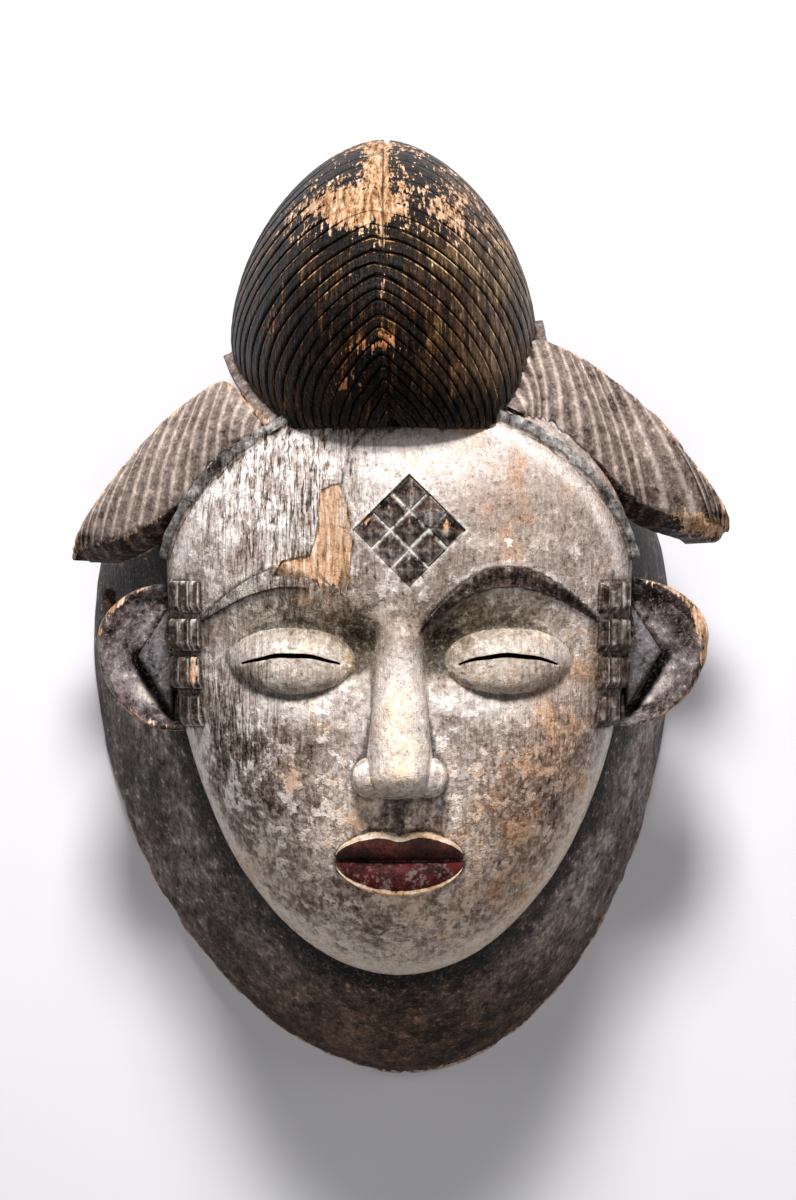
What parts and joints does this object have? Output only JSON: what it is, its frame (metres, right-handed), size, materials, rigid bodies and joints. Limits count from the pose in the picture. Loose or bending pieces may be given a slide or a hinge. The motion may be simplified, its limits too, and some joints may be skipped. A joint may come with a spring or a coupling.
{
  "type": "carved wooden face mask",
  "caption": "Hollow carved wooden face mask with a tall combed crest, fluted side tresses, half-moon ears, a scaled lozenge on the forehead and a collar round the jaw.",
  "frame": {"origin": "middle of the bounding box, in the plane of the back rim that the mask lies on", "axes": "+Y from the chin to the crest, +X to the mask's viewer's right, +Z out of the face"},
  "size_m": [0.208, 0.2999, 0.1326],
  "materials": {
    "wood": "matte dark wood rubbed with pale clay on the face, worn to bare wood on edges"
  },
  "bodies": {
    "root": {"mask": "wood"}
  },
  "joints": []
}
